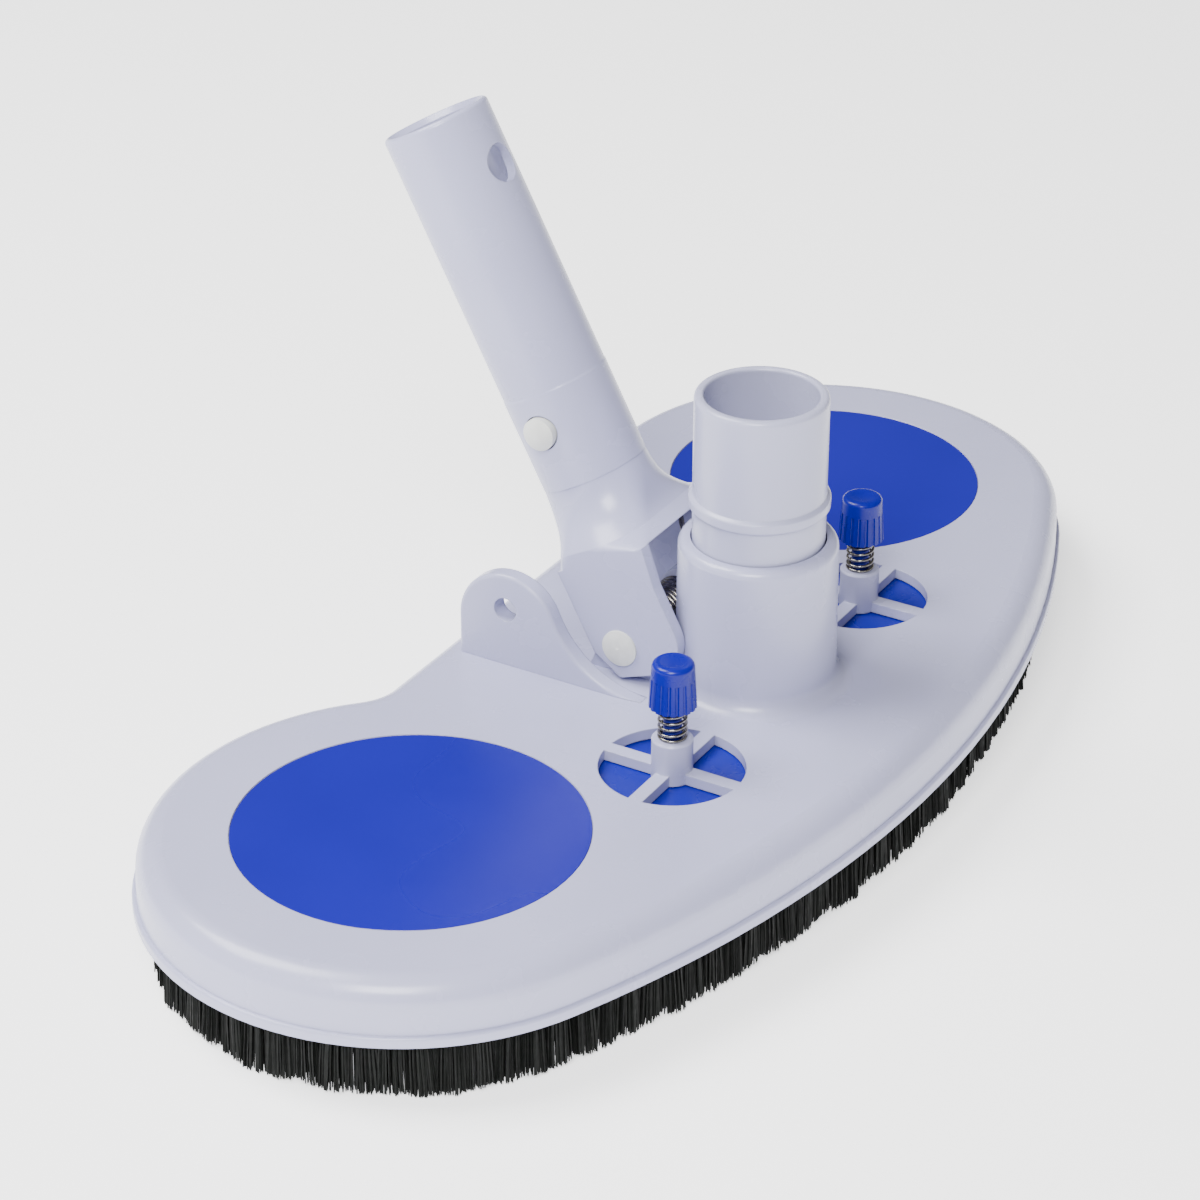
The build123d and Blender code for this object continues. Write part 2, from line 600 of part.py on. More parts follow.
def valve_knob(side):
    """The grooved knob screwed on the stem, with a slightly dished top."""
    height = KNOB_TOP - KNOB_BASE
    knob = Pos(0, 0, KNOB_BASE + height / 2) * Cone(KNOB_R_LOW, KNOB_R_HIGH, height)
    knob = fillet(knob.edges().group_by(Axis.Z)[-1], 1.4)
    dish_r = KNOB_R_HIGH - 2.0
    ball = (dish_r**2 + KNOB_DISH**2) / (2 * KNOB_DISH)
    knob -= Pos(0, 0, KNOB_TOP - KNOB_DISH + ball) * Sphere(ball)
    lean = degrees(atan((KNOB_R_LOW - KNOB_R_HIGH) / height))
    groove_high = KNOB_GROOVE_TOP - KNOB_BASE
    groove_z = KNOB_BASE + groove_high / 2
    groove_r = KNOB_R_LOW - (KNOB_R_LOW - KNOB_R_HIGH) * groove_high / (2 * height) + 0.1
    groove = Pos(groove_r, 0, groove_z) * Rot(0, -lean, 0) * Cylinder(KNOB_GROOVE_R, groove_high + 1)
    for index in range(KNOB_GROOVES):
        knob -= Rot(0, 0, index * 360 / KNOB_GROOVES) * groove
    knob -= cylinder(STEM_R + RUN, KNOB_BASE - 1, KNOB_TOP - 2.6)
    return Pos(side * VALVE_X, VALVE_Y, 0) * knob


# ---------------------------------------------------------------- brush and weights
def brush_base():
    """The plastic strip under the rim that the tufts are set in."""
    ring = outline_ring(BASE_INSET, BASE_WIDTH, BASE_BOTTOM, BASE_TOP)
    for place in brush_screw_places():
        ring -= cylinder(SCREW_R + 0.2, BASE_BOTTOM - 1, BASE_TOP + 1, *place)
    return ring


def brush_bristles():
    """The closed ring of bristles, as one block."""
    return outline_ring(BRUSH_INSET, BRUSH_WIDTH, -BRISTLE_DROP, BASE_BOTTOM)


def weight(side):
    """The cast-iron disc inside a pod."""
    disc = cylinder(WEIGHT_R, -WALL - WEIGHT_THICK - 0.2, -WALL - 0.2, side * LOBE_X)
    return chamfer(disc.edges().filter_by(GeomType.CIRCLE), 1.0)


def weight_cover(side):
    """The disc screwed over a pod, with three screw ears."""
    top = -RIM_DROP + 2.2
    low = top - COVER_THICK
    cover = cylinder(COVER_R, low, top, side * LOBE_X)
    for place in cover_screw_places(side):
        cover += cylinder(4.2, low, top, *place)
    for place in cover_screw_places(side):
        cover -= cylinder(SCREW_R + 0.2, low - 1, top + 1, *place)
    return cover


def screw(length, head_z):
    """A pan-head self-tapping screw, head down, with a cross recess."""
    head_high = 1.5
    head = cylinder(SCREW_HEAD_R, head_z - head_high, head_z)
    head = fillet(head.edges().group_by(Axis.Z)[0], 0.9)
    slot = box(-1.6, 1.6, -0.4, 0.4, head_z - head_high - 1, head_z - 0.5)
    shape = head + cylinder(SCREW_R, head_z, head_z + length - 1.2)
    tip_z = head_z + length - 0.6
    shape += Pos(0, 0, tip_z) * Cone(SCREW_R, 0.3, 1.2)
    return shape - slot - Rot(0, 0, 90) * slot


def screws(places, length, head_z):
    """A group of the same screw."""
    return Compound(children=[Pos(x, y, 0) * screw(length, head_z) for x, y in places])


# ---------------------------------------------------------------- assembly
def handle_back_y():
    """The rearmost point of the head: the round upper corner of the tilted handle."""
    lean = radians(TILT)
    along = TUBE_END - TUBE_EDGE
    across = TUBE_R - TUBE_EDGE
    return PIVOT_Y + along * sin(lean) + across * cos(lean) + TUBE_EDGE


def to_floor(shape):
    """Move a sub-part from the deck's datum to the bottom centre of the head's box."""
    front_y = FRONT_CENTRE_Y - FRONT_R
    return Pos(0, -(front_y + handle_back_y()) / 2, BRISTLE_DROP) * shape


def sub_parts():
    """Every node of the head, by name."""
    cover_places = cover_screw_places(-1) + cover_screw_places(1)
    cover_low = -RIM_DROP + 2.2 - COVER_THICK
    parts = {
        "body_shell": body_shell(),
        "hose_collar": hose_collar(),
        "hose_swivel": hose_swivel(),
        "swivel_retainer": swivel_retainer(),
        "retainer_screws": screws(retainer_screw_places(), 9.0, BOSS_BOTTOM - 3.0),
        "handle_yoke": handle_yoke(),
        "pivot_pin": pivot_pin(),
        "pivot_pin_cap": pivot_pin_cap(),
        "torsion_spring": torsion_spring(),
        "clip_spring": clip_spring(),
        "brush_base": brush_base(),
        "brush_bristles": brush_bristles(),
        "brush_screws": screws(brush_screw_places(), 12.0, BASE_BOTTOM),
        "cover_screws": screws(cover_places, 10.0, cover_low),
    }
    for side, name in ((-1, "left"), (1, "right")):
        parts["ear_" + name] = ear(side)
        parts["pivot_lug_" + name] = pivot_lug(side)
        parts["label_" + name] = label(side)
        parts["button_" + name] = spring_button(side)
        parts["valve_plate_" + name] = valve_plate(side)
        parts["valve_spring_" + name] = valve_spring(side)
        parts["valve_knob_" + name] = valve_knob(side)
        parts["weight_" + name] = weight(side)
        parts["weight_cover_" + name] = weight_cover(side)
    return parts


os.makedirs("parts", exist_ok=True)
for node, shape in sub_parts().items():
    export_step(to_floor(shape), "parts/" + node + ".step")
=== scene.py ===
import json
import random
from math import atan2, cos, pi, radians, sin, sqrt

import bpy
from mathutils import Matrix, Vector


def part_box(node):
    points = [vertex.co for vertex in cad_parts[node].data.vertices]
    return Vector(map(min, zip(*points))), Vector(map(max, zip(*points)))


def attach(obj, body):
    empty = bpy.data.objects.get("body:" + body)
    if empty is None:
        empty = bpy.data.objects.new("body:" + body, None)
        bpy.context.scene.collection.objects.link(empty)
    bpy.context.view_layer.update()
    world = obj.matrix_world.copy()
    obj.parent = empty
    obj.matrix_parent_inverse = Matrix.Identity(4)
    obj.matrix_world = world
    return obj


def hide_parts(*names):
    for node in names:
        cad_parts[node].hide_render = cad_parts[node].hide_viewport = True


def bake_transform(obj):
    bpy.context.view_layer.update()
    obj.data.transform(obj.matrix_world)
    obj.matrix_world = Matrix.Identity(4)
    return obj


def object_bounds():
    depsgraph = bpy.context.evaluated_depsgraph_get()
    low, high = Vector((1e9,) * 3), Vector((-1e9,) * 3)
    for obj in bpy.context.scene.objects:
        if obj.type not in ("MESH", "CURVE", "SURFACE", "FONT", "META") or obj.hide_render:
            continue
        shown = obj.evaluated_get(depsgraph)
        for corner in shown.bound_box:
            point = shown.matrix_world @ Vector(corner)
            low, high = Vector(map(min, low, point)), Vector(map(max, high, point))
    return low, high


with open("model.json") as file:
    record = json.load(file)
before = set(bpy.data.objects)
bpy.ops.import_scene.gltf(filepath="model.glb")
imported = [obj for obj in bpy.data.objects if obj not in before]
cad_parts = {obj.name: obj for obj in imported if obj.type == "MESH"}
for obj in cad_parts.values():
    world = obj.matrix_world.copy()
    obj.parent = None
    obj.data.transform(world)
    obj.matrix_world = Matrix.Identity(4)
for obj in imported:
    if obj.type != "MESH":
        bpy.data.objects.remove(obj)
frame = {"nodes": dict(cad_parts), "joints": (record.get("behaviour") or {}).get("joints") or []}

CAD_LOW, CAD_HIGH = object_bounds()
MM = 0.001
NODES = frame["nodes"]

# ---------------------------------------------------------------- sizes, in metres
# The plan outline of the deck, as in the CAD model: two round lobes, a bowed front and a straight back.
RIM_LENGTH = 361.5 * MM
LOBE_X = 111.0 * MM
FRONT_R = 345.8 * MM
BACK_Y = 46.0 * MM
BACK_BLEND = 12.0 * MM
BRUSH_INSET = 5.0 * MM
BRUSH_WIDTH = 5.0 * MM

TUFT_PITCH = 6.9 * MM
TUFT_ROOT = 2.4 * MM
TUFT_ROOT_ALONG = 3.5 * MM
TUFT_TIP = 2.6 * MM
TUFT_TIP_ALONG = 4.3 * MM
TUFT_SPLAY = 0.9 * MM
TUFT_SLOPE = 0.45 * MM
TUFT_LEAN_ALONG = 0.40 * MM
TUFT_LEAN_ACROSS = 0.30 * MM
TRIM_LEAST = 0.1 * MM
TRIM_MOST = 0.8 * MM
BRISTLE_SEED = 41

FILAMENT_R = 0.24 * MM
FILAMENTS = 120
FILAMENT_BEND = 0.55
FILAMENT_TIP = 0.85
FILAMENT_SIDES = 3
GOLDEN_ANGLE = 2.39996
CROWDING = 0.42
ANGLE_JITTER = 0.3
ROOT_BURIED = 0.5 * MM
TIP_ACROSS = 0.14 * MM
TIP_ALONG = 0.20 * MM
TIP_CUT = 0.22 * MM
BOW_ACROSS = 0.08 * MM
BOW_ALONG = 0.10 * MM
ORDERLY_SHARE = 0.985
STRAY_REACH = 2.6

VALVE_WIRE = 0.4 * MM
VALVE_COIL_R = 3.5 * MM
VALVE_TURNS = 5.4
VALVE_END_TURNS = 0.75
VALVE_END_RISE = 0.03
VALVE_STEPS = 40
TORSION_WIRE = 0.75 * MM
TORSION_COIL_R = 6.0 * MM
TORSION_TURNS = 13.25
TORSION_PITCH = 1.59 * MM
TORSION_STEPS = 36
DECK_LEG = 13.2 * MM
DECK_LEG_DIP = radians(15)
DECK_LEG_LEAVES = 0.1
HANDLE_LEG = 27.8 * MM
HANDLE_LEG_LEAVES = 0.05

CLIP_LEAF = 0.9 * MM
CLIP_WIDTH = 8.0 * MM
CLIP_GAP = 0.05 * MM
CLIP_APEX = 39.0 * MM
CLIP_TAIL = 7.0 * MM
CLIP_STRAIGHT = 0.28
CLIP_FULLNESS = 0.8
CLIP_STEPS = 24
CLIP_EDGE = 0.15 * MM

# The handle's lean from upright, and its local directions: along the tube and across it.
HANDLE_LEAN = radians(28.41)
ALONG = Vector((0, sin(HANDLE_LEAN), cos(HANDLE_LEAN)))
ACROSS = Vector((0, cos(HANDLE_LEAN), -sin(HANDLE_LEAN)))
TILT_JOINT = next(j for j in frame["joints"] if j["name"] == "handle_tilt")
PIVOT = Vector(TILT_JOINT["pos_m"])

# The camera: where it looks, from which side and how far.
VIEW_TARGET = Vector((13.52, 28.67, 34.0)) * MM
VIEW_AZIMUTH = radians(-59.59)
VIEW_ELEVATION = radians(28.99)
VIEW_ROLL = radians(0.094)
VIEW_DISTANCE = 1016.2 * MM
SENSOR_WIDTH = 36.0
LENS = 110.57
CLIP_END = 50.0

# The stage: the floor's half width and its gap under the bristle tips, and where the lamps point.
FLOOR_REACH = 30.0
FLOOR_GAP = 0.05 * MM
FLOOR_GLOW = 1.3
WORLD_STRENGTH = 0.24
LAMP_AIM = Vector((0, 0, 0.05))


# ---------------------------------------------------------------- meshes
def mesh_object(name, vertices, faces, material, smooth=True):
    """A mesh object from points and faces, with one material."""
    mesh = bpy.data.meshes.new(name)
    mesh.from_pydata([tuple(v) for v in vertices], [], faces)
    mesh.update()
    if smooth:
        mesh.polygons.foreach_set("use_smooth", [True] * len(mesh.polygons))
    mesh.materials.append(material)
    made = bpy.data.objects.new(name, mesh)
    bpy.context.scene.collection.objects.link(made)
    return made


def wire_mesh(path, radius, sides=12):
    """Points and faces of a closed round wire along a path, with a frame that doesn't twist."""
    vertices, faces = [], []
    normal = None
    for index, point in enumerate(path):
        ahead = path[min(index + 1, len(path) - 1)]
        behind = path[max(index - 1, 0)]
        tangent = (ahead - behind).normalized()
        if normal is None:
            normal = tangent.orthogonal().normalized()
        normal = (normal - tangent * normal.dot(tangent)).normalized()
        other = tangent.cross(normal)
        for side in range(sides):
            angle = 2 * pi * side / sides
            vertices.append(point + radius * (cos(angle) * normal + sin(angle) * other))
    for ring in range(len(path) - 1):
        for side in range(sides):
            after = (side + 1) % sides
            low, high = ring * sides, (ring + 1) * sides
            faces.append((low + side, low + after, high + after, high + side))
    faces.append(tuple(reversed(range(sides))))
    last = (len(path) - 1) * sides
    faces.append(tuple(range(last, last + sides)))
    return vertices, faces


# ---------------------------------------------------------------- brush path
def brush_path(inset):
    """The outline as arcs: (centre, radius, first angle, last angle), counter-clockwise from the front."""
    lobe_r = RIM_LENGTH / 2 - LOBE_X
    reach = FRONT_R - lobe_r
    front_centre = sqrt(reach**2 - LOBE_X**2)
    shell_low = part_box("body_shell")[0]
    shift = shell_low.y - (front_centre - FRONT_R)
    blend_y = BACK_Y + BACK_BLEND
    blend_x = LOBE_X - sqrt((lobe_r + BACK_BLEND) ** 2 - blend_y**2)
    half_front = atan2(LOBE_X, front_centre)
    hollow = atan2(blend_y, blend_x - LOBE_X)
    lobe = lobe_r - inset
    blend = BACK_BLEND + inset
    right = Vector((LOBE_X, shift, 0))
    left = Vector((-LOBE_X, shift, 0))
    front = Vector((0, front_centre + shift, 0))
    hollow_right = Vector((blend_x, blend_y + shift, 0))
    hollow_left = Vector((-blend_x, blend_y + shift, 0))
    arcs = [(front, FRONT_R - inset, -pi / 2 - half_front, -pi / 2 + half_front)]
    arcs.append((right, lobe, -pi / 2 + half_front, hollow))
    arcs.append((hollow_right, blend, hollow - pi, -pi / 2))
    arcs.append((hollow_left, blend, -pi / 2, -hollow))
    arcs.append((left, lobe, pi - hollow, 3 * pi / 2 - half_front))
    return arcs


def along_outline(inset, pitch):
    """Evenly spaced (point, outward normal) places round the outline."""
    pieces = []
    arcs = brush_path(inset)
    for index, (centre, radius, first, last) in enumerate(arcs):
        hollow = index in (2, 3)
        pieces.append(("arc", centre, radius, first, last, hollow, abs(last - first) * radius))
        if index == 2:
            start = centre + Vector((0, -radius, 0))
            end = arcs[3][0] + Vector((0, -radius, 0))
            pieces.append(("line", start, end, 0, 0, False, (end - start).length))
    total = sum(piece[-1] for piece in pieces)
    count = round(total / pitch)
    places = []
    for step in range(count):
        reach = total * step / count
        for piece in pieces:
            if reach <= piece[-1]:
                break
            reach -= piece[-1]
        share = reach / piece[-1]
        if piece[0] == "line":
            point = piece[1].lerp(piece[2], share)
            places.append((point, Vector((0, 1, 0))))
            continue
        angle = piece[3] + (piece[4] - piece[3]) * share
        outward = Vector((cos(angle), sin(angle), 0))
        point = piece[1] + piece[2] * outward
        places.append((point, -outward if piece[5] else outward))
    return places


# ---------------------------------------------------------------- materials
def coat(tree, surface, place, dark, light, drift, gloss, mottle):
    """A colour that drifts between two, and an uneven gloss, each by a noise given as scale and detail."""
    colour = tint(tree, spread(tree, noise(tree, place, *drift), 0, 1), dark, light)
    tree.links.new(colour, surface.inputs["Base Color"])
    roughness = spread(tree, noise(tree, place, *mottle), *gloss)
    tree.links.new(roughness, surface.inputs["Roughness"])
    return colour


def shader(name):
    """A new material with its node tree, its shader and an object-space coordinate."""
    material = bpy.data.materials.new(name)
    material.use_nodes = True
    tree = material.node_tree
    surface = tree.nodes["Principled BSDF"]
    place = tree.nodes.new("ShaderNodeTexCoord").outputs["Object"]
    return material, tree, surface, place


def noise(tree, place, scale, detail=2.0, roughness=0.5):
    """A noise texture's value."""
    node = tree.nodes.new("ShaderNodeTexNoise")
    node.inputs["Scale"].default_value = scale
    node.inputs["Detail"].default_value = detail
    node.inputs["Roughness"].default_value = roughness
    tree.links.new(place, node.inputs["Vector"])
    return node.outputs["Fac"]


def spread(tree, value, low, high, source_low=0.3, source_high=0.7):
    """A value mapped into a range."""
    node = tree.nodes.new("ShaderNodeMapRange")
    node.inputs["From Min"].default_value = source_low
    node.inputs["From Max"].default_value = source_high
    node.inputs["To Min"].default_value = low
    node.inputs["To Max"].default_value = high
    tree.links.new(value, node.inputs["Value"])
    return node.outputs["Result"]


def tint(tree, value, dark, light):
    """A colour between two, by a value."""
    node = tree.nodes.new("ShaderNodeMix")
    node.data_type = "RGBA"
    node.inputs["A"].default_value = (*dark, 1)
    node.inputs["B"].default_value = (*light, 1)
    tree.links.new(value, node.inputs["Factor"])
    return node.outputs["Result"]


def bump(tree, surface, height, strength, distance, edge=0.0):
    """Surface relief, over softened edges where edge is a radius."""
    node = tree.nodes.new("ShaderNodeBump")
    node.inputs["Strength"].default_value = strength
    node.inputs["Distance"].default_value = distance
    tree.links.new(height, node.inputs["Height"])
    if edge:
        soft = tree.nodes.new("ShaderNodeBevel")
        soft.samples = 4
        soft.inputs["Radius"].default_value = edge
        tree.links.new(soft.outputs["Normal"], node.inputs["Normal"])
    tree.links.new(node.outputs["Normal"], surface.inputs["Normal"])


def specks(tree, place, colour, base, scale, share, size):
    """Small dark dust specks in some cells of a pattern, over a colour."""
    cells = tree.nodes.new("ShaderNodeTexVoronoi")
    cells.inputs["Scale"].default_value = scale
    tree.links.new(place, cells.inputs["Vector"])
    chosen = spread(tree, cells.outputs["Color"], 0, 1, 1 - share, 1 - share + 0.01)
    near = spread(tree, cells.outputs["Distance"], 1, 0, size * 0.5, size)
    both = tree.nodes.new("ShaderNodeMath")
    both.operation = "MULTIPLY"
    tree.links.new(chosen, both.inputs[0])
    tree.links.new(near, both.inputs[1])
    node = tree.nodes.new("ShaderNodeMix")
    node.data_type = "RGBA"
    tree.links.new(both.outputs[0], node.inputs["Factor"])
    tree.links.new(base, node.inputs["A"])
    node.inputs["B"].default_value = (*colour, 1)
    return node.outputs["Result"]


def white_plastic(name, dark, light, edge=0.0005):
    """Glossy moulded ABS: a slight drift of tint, uneven gloss, faint orange peel and a little dust."""
    material, tree, surface, place = shader(name)
    clean = coat(tree, surface, place, dark, light, drift=(14, 3), gloss=(0.20, 0.30), mottle=(60, 4))
    dusty = specks(tree, place, (0.25, 0.24, 0.25), clean, scale=42, share=0.06, size=0.016)
    tree.links.new(dusty, surface.inputs["Base Color"])
    surface.inputs["Specular IOR Level"].default_value = 0.5
    surface.inputs["Subsurface Weight"].default_value = 0.06
    surface.inputs["Subsurface Radius"].default_value = (0.003, 0.003, 0.004)
    bump(tree, surface, noise(tree, place, 240, 3), strength=0.12, distance=0.0002, edge=edge)
    return material


def blue_film(name, dark, light):
    """Printed blue film: a slow drift of ink and gloss, with no relief."""
    material, tree, surface, place = shader(name)
    coat(tree, surface, place, dark, light, drift=(18, 2), gloss=(0.26, 0.31), mottle=(12, 1))
    return material


def blue_plastic(name, dark, light, grain, depth):
    """Moulded blue plastic, with a fine grain."""
    material, tree, surface, place = shader(name)
    surface.inputs["Specular IOR Level"].default_value = 0.3
    coat(tree, surface, place, dark, light, drift=(30, 4), gloss=(0.22, 0.32), mottle=(90, 4))
    bump(tree, surface, noise(tree, place, grain, 3), strength=0.2, distance=depth)
    return material


def nylon(name):
    """Natural nylon: milky, satin and slightly translucent."""
    material, tree, surface, place = shader(name)
    dark, light = (0.62, 0.63, 0.60), (0.72, 0.73, 0.70)
    coat(tree, surface, place, dark, light, drift=(220, 3), gloss=(0.38, 0.50), mottle=(500, 4))
    surface.inputs["Subsurface Weight"].default_value = 0.25
    surface.inputs["Subsurface Radius"].default_value = (0.002, 0.002, 0.0018)
    bump(tree, surface, noise(tree, place, 900, 2), strength=0.15, distance=0.0001)
    return material


def metal(name, dark, light, gloss, grain):
    """Drawn or machined metal with a fine uneven grain."""
    material, tree, surface, place = shader(name)
    coat(tree, surface, place, dark, light, drift=(grain, 4), gloss=gloss, mottle=(grain * 2, 3))
    surface.inputs["Metallic"].default_value = 1.0
    bump(tree, surface, noise(tree, place, grain * 3, 2), strength=0.1, distance=0.00005)
    return material


def bristle_nylon(name):
    """Black bristle: a little lighter or darker in streaks along the filaments, with a soft sheen."""
    material, tree, surface, place = shader(name)
    stretch = tree.nodes.new("ShaderNodeMapping")
    stretch.inputs["Scale"].default_value = (1.0, 1.0, 0.08)
    tree.links.new(place, stretch.inputs["Vector"])
    streaks = spread(tree, noise(tree, stretch.outputs["Vector"], 700, 3), 0, 1)
    colour = tint(tree, streaks, (0.0025, 0.003, 0.0026), (0.0090, 0.0105, 0.0092))
    tree.links.new(colour, surface.inputs["Base Color"])
    gloss = spread(tree, noise(tree, place, 500, 2), 0.50, 0.7)
    tree.links.new(gloss, surface.inputs["Roughness"])
    surface.inputs["Specular IOR Level"].default_value = 0.18
    bump(tree, surface, noise(tree, place, 2500, 2), strength=0.15, distance=0.00005)
    return material


def black_plastic(name):
    """Matt black moulded strip with a fine sparked texture."""
    material, tree, surface, place = shader(name)
    dark, light = (0.012, 0.012, 0.012), (0.03, 0.03, 0.03)
    coat(tree, surface, place, dark, light, drift=(120, 4), gloss=(0.45, 0.62), mottle=(300, 3))
    bump(tree, surface, noise(tree, place, 1400, 4), strength=0.4, distance=0.0001, edge=0.0004)
    return material


def cast_iron(name):
    """Rough cast iron, browner where it is darker."""
    material, tree, surface, place = shader(name)
    dark, light = (0.05, 0.04, 0.035), (0.14, 0.13, 0.13)
    coat(tree, surface, place, dark, light, drift=(90, 6), gloss=(0.5, 0.75), mottle=(200, 4))
    surface.inputs["Metallic"].default_value = 0.7
    bump(tree, surface, noise(tree, place, 500, 6), strength=0.6, distance=0.0004, edge=0.0006)
    return material


def plain_floor(name):
    """A pale seamless floor with the faintest mottle."""
    material, tree, surface, place = shader(name)
    mottle = spread(tree, noise(tree, place, 3, 3), 0, 1)
    colour = tint(tree, mottle, (0.95, 0.95, 0.95), (0.965, 0.965, 0.965))
    tree.links.new(colour, surface.inputs["Base Color"])
    surface.inputs["Roughness"].default_value = 0.9
    surface.inputs["Specular IOR Level"].default_value = 0.2
    surface.inputs["Emission Color"].default_value = (1.0, 1.0, 1.0, 1.0)
    surface.inputs["Emission Strength"].default_value = FLOOR_GLOW
    return material


SHELL_DARK = (0.405, 0.410, 0.590)
SHELL_LIGHT = (0.445, 0.450, 0.635)
SHELL = white_plastic("white_shell", SHELL_DARK, SHELL_LIGHT)
COLLAR = white_plastic("white_collar", SHELL_DARK, SHELL_LIGHT, edge=0.0)
HANDLE = white_plastic("white_handle", (0.405, 0.410, 0.600), (0.445, 0.450, 0.645))
CUFF = white_plastic("white_cuff", (0.410, 0.415, 0.575), (0.450, 0.455, 0.615))
LABEL = blue_film("blue_label", (0.004, 0.001, 0.25), (0.006, 0.002, 0.29))
VALVE = blue_plastic("blue_valve", (0.004, 0.006, 0.24), (0.007, 0.009, 0.29), grain=700, depth=0.00008)
KNOB = blue_plastic("blue_knob", (0.001, 0.001, 0.22), (0.002, 0.002, 0.28), grain=900, depth=0.00003)
NYLON = nylon("natural_nylon")
SPRING = metal("spring_wire", (0.17, 0.16, 0.14), (0.36, 0.34, 0.31), gloss=(0.16, 0.28), grain=900)
SCREW = metal("stainless_screw", (0.50, 0.50, 0.50), (0.66, 0.66, 0.66), gloss=(0.22, 0.34), grain=700)
BRISTLE = bristle_nylon("bristle_black")
STRIP = black_plastic("strip_black")
IRON = cast_iron("weight_iron")


# ---------------------------------------------------------------- pieces
def dress_frame():
    """Every CAD node that keeps its own shape gets its finished material."""
    looks = {
        "body_shell": SHELL,
        "hose_collar": COLLAR,
        "ear_left": SHELL,
        "ear_right": SHELL,
        "pivot_lug_left": SHELL,
        "pivot_lug_right": SHELL,
        "swivel_retainer": SHELL,
        "weight_cover_left": SHELL,
        "weight_cover_right": SHELL,
        "handle_yoke": HANDLE,
        "hose_swivel": CUFF,
        "pivot_pin": NYLON,
        "pivot_pin_cap": NYLON,
        "button_left": NYLON,
        "button_right": NYLON,
        "label_left": LABEL,
        "label_right": LABEL,
        "valve_plate_left": VALVE,
        "valve_plate_right": VALVE,
        "valve_knob_left": KNOB,
        "valve_knob_right": KNOB,
        "retainer_screws": SCREW,
        "cover_screws": SCREW,
        "brush_screws": SCREW,
        "brush_base": STRIP,
        "weight_left": IRON,
        "weight_right": IRON,
    }
    for node, material in looks.items():
        for material_slot in NODES[node].material_slots:
            material_slot.material = material


def filament(vertices, faces, root, tip, bow, radius):
    """One bristle: a thin three-sided rod in two bent stretches, with a closed tip."""
    middle = root.lerp(tip, FILAMENT_BEND) + bow
    first = len(vertices)
    turn = random.uniform(0, 2 * pi)
    for point, size in ((root, 1.0), (middle, 1.0), (tip, FILAMENT_TIP)):
        for side in range(FILAMENT_SIDES):
            angle = turn + 2 * pi * side / FILAMENT_SIDES
            vertices.append(point + radius * size * Vector((cos(angle), sin(angle), 0)))
    for ring in (0, FILAMENT_SIDES):
        for side in range(FILAMENT_SIDES):
            after = (side + 1) % FILAMENT_SIDES
            low, high = first + ring, first + ring + FILAMENT_SIDES
            faces.append((low + side, high + side, high + after, low + after))
    faces.append((first + 6, first + 8, first + 7))
    faces.append((first, first + 1, first + 2))


def bristles():
    """A single row of splayed tufts round the rim, cut a little unevenly at the floor."""
    random.seed(BRISTLE_SEED)
    low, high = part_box("brush_bristles")
    vertices, faces = [], []
    for point, outward in along_outline(BRUSH_INSET + BRUSH_WIDTH / 2, TUFT_PITCH):
        side_way = Vector((-outward.y, outward.x, 0))
        lean = random.gauss(0, TUFT_LEAN_ALONG) * side_way + random.gauss(0, TUFT_LEAN_ACROSS) * outward
        lean += TUFT_SPLAY * outward
        slope = random.gauss(0, TUFT_SLOPE)
        trim = random.uniform(TRIM_LEAST, TRIM_MOST) + abs(slope)
        for index in range(FILAMENTS):
            reach = ((index + 0.5) / FILAMENTS) ** CROWDING
            angle = index * GOLDEN_ANGLE + random.uniform(-ANGLE_JITTER, ANGLE_JITTER)
            across = reach * cos(angle)
            along = reach * sin(angle)
            root = point + TUFT_ROOT * across * outward + TUFT_ROOT_ALONG * along * side_way
            tip = point + TUFT_TIP * across * outward + TUFT_TIP_ALONG * along * side_way + lean
            stray = 1.0 if random.random() < ORDERLY_SHARE else STRAY_REACH
            tip += random.gauss(0, TIP_ACROSS) * stray * outward
            tip += random.gauss(0, TIP_ALONG) * stray * side_way
            root.z = high.z + ROOT_BURIED
            tip.z = low.z + trim + slope * along + abs(random.gauss(0, TIP_CUT)) * stray
            bow = random.gauss(0, BOW_ACROSS) * outward + random.gauss(0, BOW_ALONG) * side_way
            filament(vertices, faces, root, tip, bow, FILAMENT_R)
    made = mesh_object("bristle_tufts", vertices, faces, BRISTLE, smooth=False)
    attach(made, "deck")
    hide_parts("brush_bristles")


def valve_spring(side_name):
    """The open coil between a valve's hub and its knob, squared off at both ends."""
    low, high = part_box("valve_spring_" + side_name)
    centre = (low + high) / 2
    bottom = low.z + VALVE_WIRE
    top = high.z - VALVE_WIRE
    turns = VALVE_TURNS + VALVE_END_TURNS
    count = round(VALVE_STEPS * turns)
    path = []
    for index in range(count + 1):
        turned = turns * index / count
        rise = min(max((turned - VALVE_END_TURNS) / (turns - 2 * VALVE_END_TURNS), 0), 1)
        angle = 2 * pi * turned
        share = VALVE_END_RISE * turned / turns + (1 - VALVE_END_RISE) * rise
        x = centre.x + VALVE_COIL_R * cos(angle)
        y = centre.y + VALVE_COIL_R * sin(angle)
        path.append(Vector((x, y, bottom + (top - bottom) * share)))
    made = mesh_object("valve_coil_" + side_name, *wire_mesh(path, VALVE_WIRE), SPRING)
    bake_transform(made)
    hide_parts("valve_spring_" + side_name)


